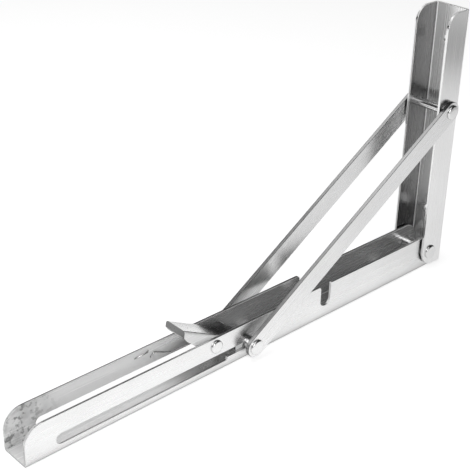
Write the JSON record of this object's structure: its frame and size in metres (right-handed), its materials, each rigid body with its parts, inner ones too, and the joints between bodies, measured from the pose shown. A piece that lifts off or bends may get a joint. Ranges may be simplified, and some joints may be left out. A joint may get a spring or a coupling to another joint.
{
  "type": "folding shelf bracket",
  "caption": "Folding steel shelf bracket: channel shelf arm hinged to a channel wall arm, twin flat braces on a slide pin, sprung release lever.",
  "frame": {"origin": "middle of the bounding box, on the plane of the shelf arm's outer face", "axes": "+X from the shelf arm's free end towards the wall, +Z along the wall arm away from the shelf arm, Y across the flanges"},
  "size_m": [0.4, 0.043, 0.2133],
  "materials": {
    "sheet_steel": "satin",
    "brace_steel": "satin",
    "rivet_steel": "semi-bright",
    "latch_steel": "satin",
    "spring_steel": "satin"
  },
  "bodies": {
    "shelf": {"shelf_arm": "sheet_steel", "latch_rivet": "rivet_steel", "latch_spring": "spring_steel"},
    "wall": {"wall_arm": "sheet_steel", "pivot_rivet": "rivet_steel", "pivot_sleeve": "rivet_steel", "pivot_washer_near": "rivet_steel", "pivot_washer_far": "rivet_steel", "upper_rivet": "rivet_steel", "brace_washer_near": "rivet_steel", "brace_washer_far": "rivet_steel"},
    "braces": {"brace_near": "brace_steel", "brace_far": "brace_steel", "lower_rivet_near": "rivet_steel", "lower_rivet_far": "rivet_steel"},
    "pin": {"slide_pin": "rivet_steel", "slide_bush_near": "rivet_steel", "slide_bush_far": "rivet_steel"},
    "latch": {"latch_lever": "latch_steel"}
  },
  "joints": [
    {"name": "fold", "type": "hinge", "parent": "shelf", "child": "wall", "pos_m": [0.1843, 0, 0.0153], "axis": [0, -1, 0], "range_deg": [0, 90]},
    {"name": "brace_swing", "type": "hinge", "parent": "wall", "child": "braces", "pos_m": [0.1861, 0, 0.13679], "axis": [0, 1, 0], "range_deg": [0, 120.71]},
    {"name": "pin_travel", "type": "slide", "parent": "shelf", "child": "pin", "axis": [-1, 0, 0], "range_m": [0, 0.15941]},
    {"name": "latch_press", "type": "hinge", "parent": "shelf", "child": "latch", "pos_m": [-0.0452, 0, 0.02155], "axis": [0, -1, 0], "range_deg": [0, 18], "stiffness_Nm_per_rad": 0.4, "springref_deg": -20.05, "deforming": ["latch_spring"]}
  ],
  "couplings": [
    {"joint": "brace_swing", "follows": "fold", "ratio": 1.3412},
    {"joint": "pin_travel", "follows": "fold", "m_per_rad": 0.10148}
  ]
}
